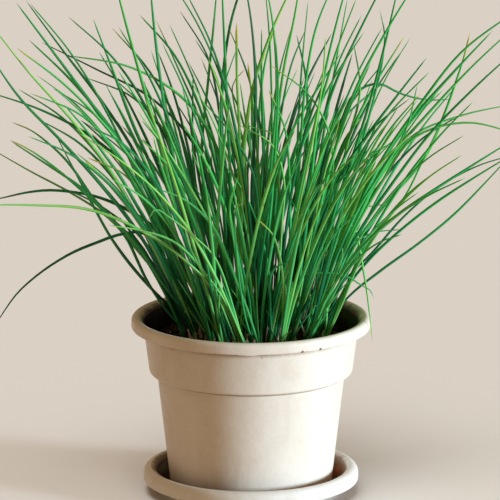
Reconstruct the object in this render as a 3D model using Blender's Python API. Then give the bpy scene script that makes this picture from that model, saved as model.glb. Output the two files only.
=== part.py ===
"""Chives growing in a plastic flower pot that stands on its saucer.

Metres, +Z up. The origin is on the pot's axis at the saucer's underside, and the front of the
pot faces -Y. Lengths below are in millimetres, and MM turns them into metres.
"""

import itertools
import math
import random

import bmesh
import bpy
import numpy as np
from mathutils import Matrix, Vector

MM = 0.001
GAP = 0.3  # between pieces that touch

# Saucer: a flat dish with a rolled rim that is open underneath.
SAUCER_RIM_RADIUS = 68.6
SAUCER_HEIGHT = 16.6
SAUCER_LIP_DROP = 8.8  # the rolled rim's height
SAUCER_LIP_WIDTH = 8.7  # from its outer edge to the dish's mouth
SAUCER_FOOT_RADIUS = 54.0
SAUCER_FLOOR = 2.4
SAUCER_WALL = 1.7
SAUCER_RIBS = (22.0, 48.2)  # radii of the rings that keep the pot out of the water
SAUCER_RIB_HEIGHT = 1.3
SAUCER_RIB_WIDTH = 3.0

# Pot: a tapered body, a wider collar above it, and a rim that is rolled over and down.
POT_BASE_Z = SAUCER_FLOOR + SAUCER_RIB_HEIGHT + GAP
POT_HEIGHT = 111.0
POT_RIM_RADIUS = 76.0
POT_LIP_DROP = 7.3
POT_WALL = 1.6
POT_BASE_RADIUS = 51.2
POT_FOOT_HEIGHT = 1.6  # the floor stands this far above the foot ring
POT_FOOT_INNER = 45.5
POT_FLOOR = 2.0
POT_WAIST_RADIUS = 59.7  # where the body meets the collar
POT_WAIST_Z = 73.5
COLLAR_LOW_RADIUS = 64.8
COLLAR_LOW_Z = 76.2
COLLAR_TOP_RADIUS = 68.3
COLLAR_TOP_Z = 104.0
DRAIN_HOLES = 6
DRAIN_RADIUS = 4.5
DRAIN_CIRCLE = 34.0

TURN_STEPS = 48  # sides of a full turn of the pot and the saucer
SHARP_ANGLE = 35.0  # degrees, above which an edge of a turned shape stays sharp

# Soil, filling the pot to a little below the rim, with a hole for each plant's root end.
SOIL_TOP = 98.5
SOIL_CROWN = 1.5  # higher in the middle than at the pot's wall
ROOT_DEPTH = 8.0
SOIL_EDGE = GAP + 0.4  # to the pot's wall, clearing the flats between the wall's corners
SOIL_STEPS = 36
SOIL_HOLE_SIDES = 6

# Chives: a clump of plants, each a short sheath that splits into up to four leaves.
PLANTS = 54
CLUMP_REACH = (49.0, 41.0)  # half its width and half its depth
CLUMP_CENTRE = (4.5, 0.0)
LEAVES = 214
MOST_LEAVES = 4  # on one plant
SHEATH_RADIUS = 3.0
SHEATH_HEIGHT = 6.0  # above the soil
ROOT_RADIUS = 2.0
NECK_SIDE = 2.0  # each leaf leaves the sheath as a square of this side
NECK_SPREAD = 4.0  # between the second joints of two leaves of a plant, along the way their squares lie
SPREAD_ROUNDS = 12
PLACE_DISORDER = 1.2
GOLDEN_ANGLE = 137.508  # degrees from one plant to the next in the clump's pattern
LEAF_JOINTS = 7  # points along one leaf's centre line
CURLED_JOINTS = 14  # the same for a leaf whose row has more than five points
LEAF_LENGTHS = (95, 265, 200)  # shortest, longest and most usual, for a leaf of the crowd
LEAF_BENDS = (2, 46, 14)  # the same for its bend towards the tip, in degrees
OUTWARD_LEAN = 15.0  # degrees more at the clump's edge than in its middle
OUTWARD_BEND = 14.0
DEPTH_LEAN = 12.0  # more again for a leaf of the crowd that leans to the front or the back
THICK_LEAF = 230  # a leaf this long has the full thickness
LEAF_GAP = 0.4
SETTLE_ROUNDS = 160
SEARCH_EVERY = 10  # rounds between two searches for the pairs that are near each other
SEARCH_REACH = 8.0
MOST_PUSH = 2.0  # in one round
EASED_ROUNDS = 96  # rounds in which leaves also spring back to their own bend
SEED = 7

# The leaves that stand out one by one. Each has its root (x, y), the y of its tip, and the
# points (x, z) that it passes seen from the front. The y changes evenly along the leaf.
SHOWN_LEAVES = (
    # left side, from the lowest tip to the highest
    ((-36, 5), -15, ((-51, 146), (-61, 161), (-72, 170), (-96, 164), (-121, 153), (-147, 133), (-165, 107))),
    ((-12, -36), -95, ((-22, 141), (-46, 169), (-78, 191), (-110, 203), (-170, 208))),
    ((-8, -34), -85, ((-30, 154), (-51, 180), (-64, 186), (-88, 193))),
    ((-2, -34), -80, ((-20, 161), (-36, 182), (-55, 199), (-60, 201), (-63, 198), (-64, 194))),
    ((-34, 15), 30, ((-58, 160), (-69, 172), (-86, 182), (-105, 188), (-134, 190), (-170, 182))),
    ((0, -30), -70, ((-16, 169), (-28, 192), (-45, 207), (-62, 214))),
    ((-38, 20), 45, ((-62, 138), (-83, 163), (-101, 179), (-134, 196), (-167, 214))),
    ((-40, 8), 10, ((-55, 130), (-71, 156), (-93, 181), (-109, 197), (-152, 226))),
    ((-42, 14), 0, ((-58, 123), (-71, 138), (-88, 162), (-105, 195), (-124, 234))),
    ((-20, -22), -40, ((-35, 187), (-47, 214), (-70, 239))),
    ((-33, 8), 30, ((-50, 145), (-77, 205), (-96, 222), (-121, 238), (-168, 254))),
    ((-24, -18), -50, ((-40, 137), (-65, 193), (-86, 231), (-102, 251), (-137, 269))),
    ((-32, -8), -20, ((-46, 145), (-70, 209), (-96, 247), (-124, 266))),
    ((-20, 10), 30, ((-36, 160), (-55, 226), (-67, 246), (-105, 263))),
    ((-25, 0), -10, ((-42, 150), (-70, 224), (-91, 266))),
    ((-10, 15), 0, ((-14, 180), (-26, 236), (-39, 251), (-67, 272), (-115, 283))),
    ((-16, 20), 50, ((-22, 160), (-30, 206), (-45, 229), (-64, 248), (-134, 282))),
    ((-36, 0), -20, ((-51, 135), (-78, 181), (-112, 223), (-147, 262), (-166, 292))),
    ((-22, -5), 10, ((-34, 140), (-48, 191), (-58, 230), (-80, 272), (-115, 306))),
    ((-30, -10), -40, ((-48, 138), (-77, 196), (-102, 236), (-134, 274), (-163, 313))),
    ((-28, 5), 20, ((-44, 140), (-70, 204), (-98, 246), (-148, 313))),
    ((-26, 12), 40, ((-42, 140), (-67, 200), (-84, 233), (-102, 256), (-143, 311))),
    # finer ones between them
    ((-40, 10), 25, ((-64, 132), (-80, 164), (-97, 183), (-117, 211), (-138, 229), (-152, 235))),
    ((-30, -5), -20, ((-51, 134), (-70, 163), (-88, 182), (-114, 207), (-135, 224), (-151, 233))),
    ((-18, -24), -40, ((-36, 132), (-61, 185), (-79, 213), (-88, 220), (-102, 226))),
    ((-36, -4), 0, ((-45, 139), (-61, 198), (-74, 229), (-91, 264))),
    ((-22, 16), 30, ((-29, 140), (-39, 204), (-50, 241), (-67, 271), (-88, 295))),
    ((-30, 12), 30, ((-39, 141), (-56, 192), (-78, 243), (-89, 273), (-100, 301))),
    # middle, from left to right
    ((-24, -4), -15, ((-40, 160), (-58, 231), (-75, 294), (-87, 342))),
    ((-20, 5), 0, ((-38, 160), (-52, 232), (-59, 282), (-64, 338))),
    ((-12, 8), 20, ((-20, 160), (-30, 227), (-39, 255), (-60, 302))),
    ((2, 0), 10, ((0, 160), (-7, 222), (-24, 282), (-52, 332))),
    ((4, -24), -35, ((5, 178), (0, 218), (-14, 242), (-30, 261))),
    ((-14, 12), 12, ((-26, 160), (-31, 220), (-26, 273), (-20, 338))),
    ((-4, 6), 0, ((-11, 160), (-15, 243), (-19, 348))),
    ((18, -20), -30, ((20, 190), (20, 215), (12, 233), (-8, 245))),
    ((6, 10), 5, ((0, 180), (2, 250), (0, 300), (-7, 345))),
    ((-10, -6), 10, ((-17, 180), (-18, 262), (-13, 301), (-1, 340))),
    ((12, 0), -5, ((10, 180), (16, 256), (14, 302), (6, 345))),
    ((22, -14), -20, ((24, 190), (22, 236), (11, 265))),
    ((38, -8), -20, ((50, 190), (52, 223), (45, 249), (31, 267), (12, 281))),
    ((-4, -12), 20, ((-7, 180), (-4, 235), (8, 284), (32, 335))),
    ((14, 6), 0, ((14, 180), (17, 250), (25, 293), (34, 350))),
    ((22, 12), 12, ((28, 180), (31, 258), (36, 316))),
    ((20, -6), 0, ((28, 180), (34, 262), (42, 305), (56, 338))),
    ((12, 14), 10, ((16, 190), (25, 230), (47, 267), (57, 283))),
    ((26, -12), -20, ((33, 160), (41, 239), (48, 286), (64, 346))),
    ((28, 8), 10, ((36, 200), (50, 254), (65, 290), (88, 336))),
    ((34, 4), 15, ((50, 170), (70, 234), (81, 273), (94, 330))),
    ((30, -4), -10, ((40, 165), (57, 238), (76, 284), (106, 336))),
    # finer and curled ones in the middle
    ((-8, 14), 25, ((-13, 134), (-16, 199), (-23, 265), (-29, 280), (-45, 307))),
    ((-8, 4), 5, ((-6, 216), (-8, 255), (-9, 303))),
    ((-16, 2), 0, ((-18, 203), (-18, 249), (-17, 269), (-9, 288))),
    ((0, 8), 4, ((-3, 209), (-8, 240), (-11, 253), (-12, 262), (-8, 268), (-3, 274))),
    ((22, 4), 0, ((20, 137), (18, 190), (17, 217), (15, 230), (10, 236), (3, 236), (-7, 240))),
    ((26, -34), -72, ((20, 122), (20, 147), (18, 167), (12, 186), (4, 194))),
    ((2, -34), -75, ((-1, 117), (-6, 144), (-9, 172), (-10, 195), (-8, 205), (-4, 205))),
    ((0, -28), -64, ((-5, 149), (-10, 176), (-13, 196), (-12, 209), (-8, 219))),
    ((-2, -30), -64, ((-7, 144), (-11, 179), (-13, 198), (-9, 215))),
    ((-8, -30), -75, ((-16, 134), (-34, 164), (-41, 188))),
    ((14, -34), -62, ((13, 115), (12, 137), (12, 154), (17, 161), (25, 165))),
    ((32, -26), -52, ((29, 127), (31, 161), (30, 184), (24, 205))),
    ((24, 16), 22, ((31, 134), (40, 199), (54, 268), (70, 305))),
    ((34, 10), 20, ((44, 142), (57, 206), (69, 257), (69, 272), (65, 287))),
    ((36, 6), 14, ((47, 136), (62, 195), (79, 261), (83, 279), (84, 297), (81, 310))),
    # right side, from the highest tip to the lowest
    ((36, 0), -10, ((58, 165), (85, 221), (110, 258), (128, 283), (165, 313))),
    ((38, -8), -30, ((62, 170), (88, 225), (104, 243), (145, 289), (166, 309))),
    ((36, 8), 5, ((60, 170), (85, 217), (112, 253), (152, 298))),
    ((38, -16), -45, ((60, 160), (88, 206), (120, 250), (166, 297))),
    ((32, 14), 25, ((55, 180), (79, 250), (101, 290))),
    ((28, 22), 40, ((42, 160), (63, 207), (91, 247), (112, 274))),
    ((32, -18), -30, ((60, 175), (88, 225), (101, 251), (104, 271))),
    ((26, 18), 30, ((42, 190), (57, 235), (66, 254), (79, 260), (95, 253), (107, 249), (129, 249))),
    ((36, 12), 25, ((62, 165), (95, 219), (120, 236), (168, 247))),
    ((34, -12), -30, ((60, 165), (88, 217), (107, 240), (133, 246), (170, 238))),
    ((42, 10), 0, ((55, 132), (79, 168), (96, 189), (118, 236))),
    ((24, 4), 8, ((44, 180), (60, 206), (75, 216), (92, 227))),
    ((42, 6), 10, ((63, 144), (82, 169), (120, 197), (168, 228))),
    ((44, -2), -20, ((63, 138), (85, 164), (120, 194), (166, 225))),
    ((44, 8), -10, ((60, 126), (82, 145), (107, 164), (133, 187), (166, 224))),
    ((43, 14), 35, ((60, 132), (85, 157), (101, 176), (133, 200), (172, 213))),
    ((30, -12), -15, ((48, 165), (63, 185), (88, 191))),
    ((40, -6), -10, ((58, 150), (70, 168), (95, 173))),
    ((22, -22), -46, ((31, 146), (42, 151), (56, 151), (66, 147), (72, 142), (77, 142), (77, 137))),
    ((38, -16), -18, ((47, 167), (54, 177), (60, 179), (66, 173), (69, 158), (73, 136), (77, 102))),
    ((44, 6), 10, ((60, 143), (85, 182), (107, 209), (119, 233), (133, 275), (138, 296))),
)


def arc(centre, radius, start, end, steps):
    """Points (r, z) on an arc, from one angle to another in degrees."""
    return [
        (
            centre[0] + radius * math.cos(math.radians(start + (end - start) * i / steps)),
            centre[1] + radius * math.sin(math.radians(start + (end - start) * i / steps)),
        )
        for i in range(steps + 1)
    ]


def material(name, colour, roughness):
    made = bpy.data.materials.new(name)
    made.use_nodes = True
    shader = made.node_tree.nodes["Principled BSDF"]
    shader.inputs["Base Color"].default_value = (*colour, 1.0)
    shader.inputs["Roughness"].default_value = roughness
    shader.inputs["Metallic"].default_value = 0.0
    made.diffuse_color = (*colour, 1.0)
    return made


def add_object(name, mesh, finish, height=0.0):
    """A mesh in millimetres as an object in metres, lifted to its height."""
    mesh.transform(Matrix.Scale(MM, 4))
    mesh.materials.append(finish)
    made = bpy.data.objects.new(name, mesh)
    made.location.z = height * MM
    bpy.context.scene.collection.objects.link(made)
    return made


def turned_mesh(name, outline, steps):
    """A closed outline of points (r, z) turned about Z. Points on the axis become one point."""
    shape = bmesh.new()
    rings = []
    for radius, z in outline:
        if radius == 0:
            rings.append([shape.verts.new((0, 0, z))] * steps)
            continue
        angles = [2 * math.pi * i / steps for i in range(steps)]
        rings.append([shape.verts.new((radius * math.cos(a), radius * math.sin(a), z)) for a in angles])
    pairs = zip(rings, rings[1:] + rings[:1])
    for low, high in pairs:
        for i in range(steps):
            j = (i + 1) % steps
            corners = list(dict.fromkeys((low[i], low[j], high[j], high[i])))
            if len(corners) > 2:
                shape.faces.new(corners)
    bmesh.ops.recalc_face_normals(shape, faces=shape.faces)
    mesh = bpy.data.meshes.new(name)
    shape.to_mesh(mesh)
    shape.free()
    mesh.shade_smooth()
    mesh.set_sharp_from_angle(angle=math.radians(SHARP_ANGLE))
    return mesh


def cut(target, cutter):
    """Cuts one object out of another and hides the cutter."""
    cutter.hide_render = True
    cutter.display_type = "WIRE"
    made = target.modifiers.new("Cut " + cutter.name, "BOOLEAN")
    made.operation = "DIFFERENCE"
    made.solver = "EXACT"
    made.object = cutter


def cylinders_mesh(name, centres, radius, low, high, sides):
    """Upright cylinders that stand clear of each other, in one mesh."""
    shape = bmesh.new()
    for x, y in centres:
        bmesh.ops.create_cone(
            shape,
            cap_ends=True,
            segments=sides,
            radius1=radius,
            radius2=radius,
            depth=high - low,
            matrix=Matrix.Translation((x, y, (low + high) / 2)),
        )
    mesh = bpy.data.meshes.new(name)
    shape.to_mesh(mesh)
    shape.free()
    return mesh


def make_saucer():
    rim, top, floor, wall = SAUCER_RIM_RADIUS, SAUCER_HEIGHT, SAUCER_FLOOR, SAUCER_WALL
    roll = SAUCER_LIP_WIDTH / 2
    middle = (rim - roll, top - roll)
    lip_inside = roll - wall
    ribs = []
    for radius in SAUCER_RIBS[::-1]:
        half = SAUCER_RIB_WIDTH / 2
        high = floor + SAUCER_RIB_HEIGHT
        ribs += [(radius + half, floor), (radius + half - 0.4, high)]
        ribs += [(radius - half + 0.4, high), (radius - half, floor)]
    outline = [(0.0, 0.0), (SAUCER_FOOT_RADIUS - 2, 0.0), (SAUCER_FOOT_RADIUS - 0.5, 0.6)]
    outline += [(56.4, 6.2), (59.6, 10.4)]
    outline += arc(middle, lip_inside, 150, 0, 3)
    outline += [(rim - wall, top - SAUCER_LIP_DROP + 0.4), (rim - wall + 0.4, top - SAUCER_LIP_DROP)]
    outline += [(rim - 0.5, top - SAUCER_LIP_DROP), (rim, top - SAUCER_LIP_DROP + 0.9)]
    outline += arc(middle, roll, 0, 180, 7)
    outline += [(57.4, 9.0), (54.6, 4.4), (51.8, floor)]
    outline += ribs + [(0.0, floor)]
    finish = material("saucer_plastic", (0.8, 0.76, 0.68), 0.45)
    return add_object("saucer", turned_mesh("saucer", outline, TURN_STEPS), finish)


def pot_inside_radius(z):
    """The inside of the wall, at a height above the pot's base."""
    if z < POT_WAIST_Z:
        slope = (POT_WAIST_RADIUS - POT_BASE_RADIUS) / POT_WAIST_Z
        return POT_BASE_RADIUS + slope * z - POT_WALL
    share = (z - COLLAR_LOW_Z) / (COLLAR_TOP_Z - COLLAR_LOW_Z)
    return COLLAR_LOW_RADIUS + (COLLAR_TOP_RADIUS - COLLAR_LOW_RADIUS) * share - POT_WALL


def make_pot():
    rim, top, wall = POT_RIM_RADIUS, POT_HEIGHT, POT_WALL
    under = top - POT_LIP_DROP
    floor = POT_FOOT_HEIGHT + POT_FLOOR
    base, waist, waist_z = POT_BASE_RADIUS, POT_WAIST_RADIUS, POT_WAIST_Z
    low, low_z, high, high_z = COLLAR_LOW_RADIUS, COLLAR_LOW_Z, COLLAR_TOP_RADIUS, COLLAR_TOP_Z
    outline = [(0.0, POT_FOOT_HEIGHT), (POT_FOOT_INNER, POT_FOOT_HEIGHT), (POT_FOOT_INNER + 0.8, 0.0)]
    outline += [(base - 2.2, 0.0), (base - 0.7, 0.9), (base + 0.4, 3.0), (waist, waist_z)]
    outline += [(low - 1.4, low_z - 1.6), (low - 0.3, low_z - 0.7), (low, low_z + 1.0), (high, high_z)]
    outline += [(69.6, 106.4), (71.5, 107.9), (rim - wall - 0.9, 108.0)]
    outline += [(rim - wall, 107.0), (rim - wall + 0.3, under)]
    outline += [(rim - 0.5, under), (rim, under + 0.7)]
    outline += arc((rim - 3.0, top - 3.0), 3.0, 0, 90, 4)
    outline += [(71.6, 110.8), (70.2, 109.8), (68.2, 107.7)]
    outline += [(high - wall, high_z - 2.0), (low - wall, low_z + 1.6), (waist - wall, waist_z + 0.4)]
    outline += [(pot_inside_radius(floor + 3.0), floor + 3.0), (pot_inside_radius(floor) - 2.2, floor)]
    outline += [(0.0, floor)]
    finish = material("pot_plastic", (0.82, 0.77, 0.68), 0.4)
    pot = add_object("pot", turned_mesh("pot", outline, TURN_STEPS), finish, POT_BASE_Z)
    turns = [2 * math.pi * (i + 0.5) / DRAIN_HOLES for i in range(DRAIN_HOLES)]
    centres = [(DRAIN_CIRCLE * math.cos(a), DRAIN_CIRCLE * math.sin(a)) for a in turns]
    holes = cylinders_mesh("drain_cutter", centres, DRAIN_RADIUS, -2.0, floor + 3.0, 12)
    cut(pot, add_object("drain_cutter", holes, finish, POT_BASE_Z))
    return pot


def soil_surface(x, y):
    """The soil's height, without its crumbs."""
    return SOIL_TOP + SOIL_CROWN * (1 - math.hypot(x, y) / 66.0)


def make_soil(roots):
    floor = POT_BASE_Z + POT_FOOT_HEIGHT + POT_FLOOR + GAP

    def inside(z):
        return pot_inside_radius(z - POT_BASE_Z) - SOIL_EDGE

    waist = POT_BASE_Z + POT_WAIST_Z
    outline = [(0.0, floor), (inside(floor) - 3.0, floor), (inside(floor + 3.5) - 0.6, floor + 3.5)]
    outline += [(inside(waist - 0.1), waist - 0.1), (inside(waist - 0.1), waist + 1.5)]
    outline += [(COLLAR_LOW_RADIUS - POT_WALL - SOIL_EDGE, waist + 6.0), (inside(SOIL_TOP), SOIL_TOP)]
    outline += [(33.0, soil_surface(33, 0)), (0.0, soil_surface(0, 0))]
    finish = material("soil", (0.035, 0.024, 0.017), 0.95)
    soil = add_object("soil", turned_mesh("soil", outline, SOIL_STEPS), finish)
    low = SOIL_TOP - ROOT_DEPTH - GAP
    high = SOIL_TOP + SHEATH_HEIGHT
    holes = cylinders_mesh("root_cutter", roots, SHEATH_RADIUS + GAP, low, high, SOIL_HOLE_SIDES)
    cut(soil, add_object("root_cutter", holes, finish))
    return soil


def smooth_route(points, count):
    """Evenly spaced points on a smooth curve through the given points."""
    points = np.array(points, float)
    ends = np.vstack([2 * points[0] - points[1], points, 2 * points[-1] - points[-2]])
    fine = []
    for i in range(1, len(ends) - 2):
        a, b, c, d = ends[i - 1 : i + 3]
        square, cube = 2 * a - 5 * b + 4 * c - d, 3 * b - a - 3 * c + d
        for t in np.linspace(0, 1, 24, endpoint=False):
            fine.append(0.5 * (2 * b + (c - a) * t + square * t**2 + cube * t**3))
    fine = np.array(fine + [points[-1]])
    along = np.concatenate([[0], np.cumsum(np.linalg.norm(np.diff(fine, axis=0), axis=1))])
    wanted = np.linspace(0, along[-1], count)
    return np.stack([np.interp(wanted, along, fine[:, k]) for k in range(3)], axis=1)


def root_places(rng):
    """Where the plants stand: a sunflower pattern with a little disorder."""
    places = []
    for i in range(PLANTS):
        reach = math.sqrt((i + 0.5) / PLANTS)
        turn = math.radians(GOLDEN_ANGLE * i)
        x = CLUMP_CENTRE[0] + CLUMP_REACH[0] * reach * math.cos(turn)
        y = CLUMP_CENTRE[1] + CLUMP_REACH[1] * reach * math.sin(turn)
        x += rng.uniform(-PLACE_DISORDER, PLACE_DISORDER)
        y += rng.uniform(-PLACE_DISORDER, PLACE_DISORDER)
        places.append((x, y))
    return places


def shown_leaf(place, row):
    """A leaf that stands out, from its plant's neck through the points of its row."""
    _, tip_y, passes = row
    x, y = place
    flat = [(x, SOIL_TOP + SHEATH_HEIGHT)] + list(passes)
    steps = np.concatenate([[0], np.cumsum([math.dist(a, b) for a, b in zip(flat, flat[1:])])])
    depth = y + (tip_y - y) * steps / steps[-1]
    return [(p[0], d, p[1]) for p, d in zip(flat, depth)]


def grown_leaf(place, rng):
    """A leaf of the crowd: it leans away from the clump's middle and bends over towards its tip."""
    x, y = place
    away = ((x - CLUMP_CENTRE[0]) / CLUMP_REACH[0], (y - CLUMP_CENTRE[1]) / CLUMP_REACH[1])
    outward = math.hypot(*away)
    turn = math.atan2(away[1], away[0]) + rng.gauss(0, 0.35 + 0.9 * (1 - outward))
    length = rng.triangular(*LEAF_LENGTHS) * (1 - 0.1 * outward)
    lean = math.radians(rng.uniform(1, 5) + (OUTWARD_LEAN + DEPTH_LEAN * abs(math.sin(turn))) * outward)
    bend = math.radians(rng.triangular(*LEAF_BENDS) + OUTWARD_BEND * outward)
    power = rng.uniform(1.0, 2.4)
    twist = rng.gauss(0, 0.35)
    steps = 12
    at = np.array([x, y, SOIL_TOP + SHEATH_HEIGHT])
    points = [at]
    for i in range(steps):
        share = (i + 0.5) / steps
        tilt = lean + bend * share**power
        heading = turn + twist * share**2
        flat = math.sin(tilt)
        ahead = np.array([flat * math.cos(heading), flat * math.sin(heading), math.cos(tilt)])
        at = at + length / steps * ahead
        points.append(at)
    return points


def leaf_radius(length, share):
    """A leaf's radius at a share of its length: an even tube that narrows to a fine tip."""
    thick = 0.67 + 0.67 * min(length / THICK_LEAF, 1.0)
    return thick * (1 - 0.15 * share - 0.65 * share**5)


def neck_squares(turn):
    """The middles of the neck's four squares, seen from above, with the grid turned."""
    half = NECK_SIDE / 2
    corners = [(half, half), (-half, half), (-half, -half), (half, -half)]
    c, s = math.cos(turn), math.sin(turn)
    return [np.array([x * c - y * s, x * s + y * c, 0.0]) for x, y in corners]


def share_neck(routes):
    """Turns the neck's grid and gives each leaf the square that lies its way, so that none cross."""
    aims = [route[1] - route[0] for route in routes]
    mean = sum(aims) / len(aims)
    best = None
    for step in range(12):
        turn = math.radians(7.5 * step)
        squares = neck_squares(turn)
        for order in itertools.permutations(range(4), len(routes)):
            fit = sum(float((aim - mean) @ squares[k]) for aim, k in zip(aims, order))
            if best is None or fit > best[0] + 1e-9:
                best = (fit, turn, order)
    return best[1], best[2]


def spread_neck(routes, squares):
    """Moves the second joints of a plant's leaves apart, each to the side that its square is on."""
    for _ in range(SPREAD_ROUNDS):
        for one, two in itertools.combinations(range(len(routes)), 2):
            side = squares[one] - squares[two]
            side = side / np.linalg.norm(side)
            short = NECK_SPREAD - float((routes[one][1] - routes[two][1]) @ side)
            if short > 0:
                routes[one][1] += side * short / 2
                routes[two][1] -= side * short / 2


def closest_shares(a, b, c, d):
    """How far along segments ab and cd their closest points lie."""
    ab, cd, ca = b - a, d - c, a - c
    aa, cc, ac = (ab * ab).sum(1), (cd * cd).sum(1), (ab * cd).sum(1)
    on_ab, on_cd = (ab * ca).sum(1), (cd * ca).sum(1)
    flat = np.maximum(aa * cc - ac * ac, 1e-9)
    first = np.clip((ac * on_cd - on_ab * cc) / flat, 0, 1)
    second = np.clip((ac * first + on_cd) / cc, 0, 1)
    return np.clip((ac * second - on_ab) / aa, 0, 1), second


def settle(routes, owners):
    """Moves leaves that cross or touch apart, a little along their whole length."""
    joints = np.vstack(routes)
    sizes = [len(route) for route in routes]
    first = np.cumsum([0] + sizes[:-1])
    radius = np.concatenate([
        [leaf_radius(route_length(route), k / (len(route) - 1)) for k in range(len(route))]
        for route in routes
    ])
    low = np.concatenate([np.arange(start, start + size - 1) for start, size in zip(first, sizes)])
    leaf = np.repeat(np.arange(len(routes)), [size - 1 for size in sizes])
    from_neck = np.concatenate([np.arange(size - 1) for size in sizes])
    plant = np.array(owners)[leaf]
    freedom = np.ones(len(joints))
    freedom[first] = 0.0
    spans = [np.arange(start + 1, start + size - 1) for start, size in zip(first, sizes)]
    inner = np.concatenate(spans)
    bend = joints[inner] - (joints[inner - 1] + joints[inner + 1]) / 2
    for turn in range(SETTLE_ROUNDS):
        if turn % SEARCH_EVERY == 0:
            middle = (joints[low] + joints[low + 1]) / 2
            half = np.linalg.norm(joints[low + 1] - joints[low], axis=1) / 2 + SEARCH_REACH / 2
            one, two = np.triu_indices(len(low), 1)
            near = np.linalg.norm(middle[one] - middle[two], axis=1) < half[one] + half[two]
            split = (plant[one] != plant[two]) | (from_neck[one] + from_neck[two] > 0)
            keep = near & split & (leaf[one] != leaf[two])
            one, two = one[keep], two[keep]
        a, b, c, d = low[one], low[one] + 1, low[two], low[two] + 1
        s, t = closest_shares(joints[a], joints[b], joints[c], joints[d])
        between = joints[a] + s[:, None] * (joints[b] - joints[a])
        between -= joints[c] + t[:, None] * (joints[d] - joints[c])
        apart = np.linalg.norm(between, axis=1)
        wanted = radius[a] + s * (radius[b] - radius[a]) + LEAF_GAP
        wanted += radius[c] + t * (radius[d] - radius[c])
        close = apart < wanted
        if not close.any():
            break
        a, b, c, d, s, t = a[close], b[close], c[close], d[close], s[close], t[close]
        cross = np.cross(joints[b] - joints[a], joints[d] - joints[c])
        cross /= np.maximum(np.linalg.norm(cross, axis=1, keepdims=True), 1e-9)
        between, apart, wanted = between[close], apart[close, None], wanted[close, None]
        away = np.where(apart > 0.05, between / np.maximum(apart, 1e-9), cross)
        push = away * ((wanted - apart) * 0.55 + 0.02)
        moved = np.zeros_like(joints)
        for end, weight, sign in ((a, 1 - s, 1), (b, s, 1), (c, 1 - t, -1), (d, t, -1)):
            np.add.at(moved, end, sign * weight[:, None] * push)
        joints += np.clip(moved, -MOST_PUSH, MOST_PUSH) * freedom[:, None]
        if turn < EASED_ROUNDS:
            ease = (joints[inner - 1] + joints[inner + 1]) / 2 + bend - joints[inner]
            joints[inner] += 0.2 * ease
    return [joints[start : start + size] for start, size in zip(first, sizes)]


def route_length(route):
    return float(np.linalg.norm(np.diff(route, axis=0), axis=1).sum())


def plan_plants():
    """Each plant's place, and its leaves as centre lines with the neck square that each one has."""
    rng = random.Random(SEED)
    places = root_places(rng)
    owners, routes = [], []
    for row in SHOWN_LEAVES:
        free = [i for i in range(PLANTS) if owners.count(i) < MOST_LEAVES - 1]
        nearest = min(free, key=lambda i: math.dist(places[i], row[0]))
        owners.append(nearest)
        joints = CURLED_JOINTS if len(row[2]) > 5 else LEAF_JOINTS
        routes.append(smooth_route(shown_leaf(places[nearest], row), joints))
    while len(owners) < LEAVES:
        fewest = min(range(PLANTS), key=lambda i: (owners.count(i), rng.random()))
        owners.append(fewest)
        routes.append(smooth_route(grown_leaf(places[fewest], rng), LEAF_JOINTS))
    turns, squares = [], [0] * len(routes)
    for plant in range(PLANTS):
        mine = [k for k, owner in enumerate(owners) if owner == plant]
        turn, order = share_neck([routes[k] for k in mine])
        turns.append(turn)
        for k, square in zip(mine, order):
            squares[k] = square
            routes[k][0] += neck_squares(turn)[square]
        spread_neck([routes[k] for k in mine], [neck_squares(turn)[squares[k]] for k in mine])
    routes = settle(routes, owners)
    plants = []
    for plant in range(PLANTS):
        leaves = {squares[k]: routes[k] for k, owner in enumerate(owners) if owner == plant}
        plants.append((places[plant], turns[plant], leaves))
    return plants


def plant_mesh(name, place, turn, leaves):
    """One plant: a sheath whose neck ends in four squares, with a leaf drawn out of each one in use."""
    shape = bmesh.new()
    side = NECK_SIDE
    grid = [(side, -side), (side, 0), (side, side), (0, side)]
    grid += [(-x, -y) for x, y in grid]
    neck = SOIL_TOP + SHEATH_HEIGHT
    rings = [(SOIL_TOP - ROOT_DEPTH, ROOT_RADIUS), (SOIL_TOP - 5.0, SHEATH_RADIUS - 0.1)]
    rings += [(SOIL_TOP + 1.5, SHEATH_RADIUS - 0.5)]

    def at(x, y, z):
        c, s = math.cos(turn), math.sin(turn)
        return shape.verts.new((place[0] + x * c - y * s, place[1] + x * s + y * c, z))

    below = []
    for z, radius in rings:
        around = [at(radius * x / math.hypot(x, y), radius * y / math.hypot(x, y), z) for x, y in grid]
        below.append(around)
    below.append([at(x, y, neck) for x, y in grid])
    shape.faces.new(below[0][::-1])
    for low, high in zip(below, below[1:]):
        for i in range(8):
            j = (i + 1) % 8
            shape.faces.new((low[i], low[j], high[j], high[i]))
    edge, centre = below[-1], at(0, 0, neck)
    # square 0 is at +x +y, and they go round
    squares = [(centre, edge[1], edge[2], edge[3]), (centre, edge[3], edge[4], edge[5])]
    squares += [(centre, edge[5], edge[6], edge[7]), (centre, edge[7], edge[0], edge[1])]
    for number, corners in enumerate(squares):
        if number in leaves:
            draw_leaf(shape, corners, leaves[number])
        else:
            shape.faces.new(corners)
    mesh = bpy.data.meshes.new(name)
    shape.to_mesh(mesh)
    shape.free()
    return mesh


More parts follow.
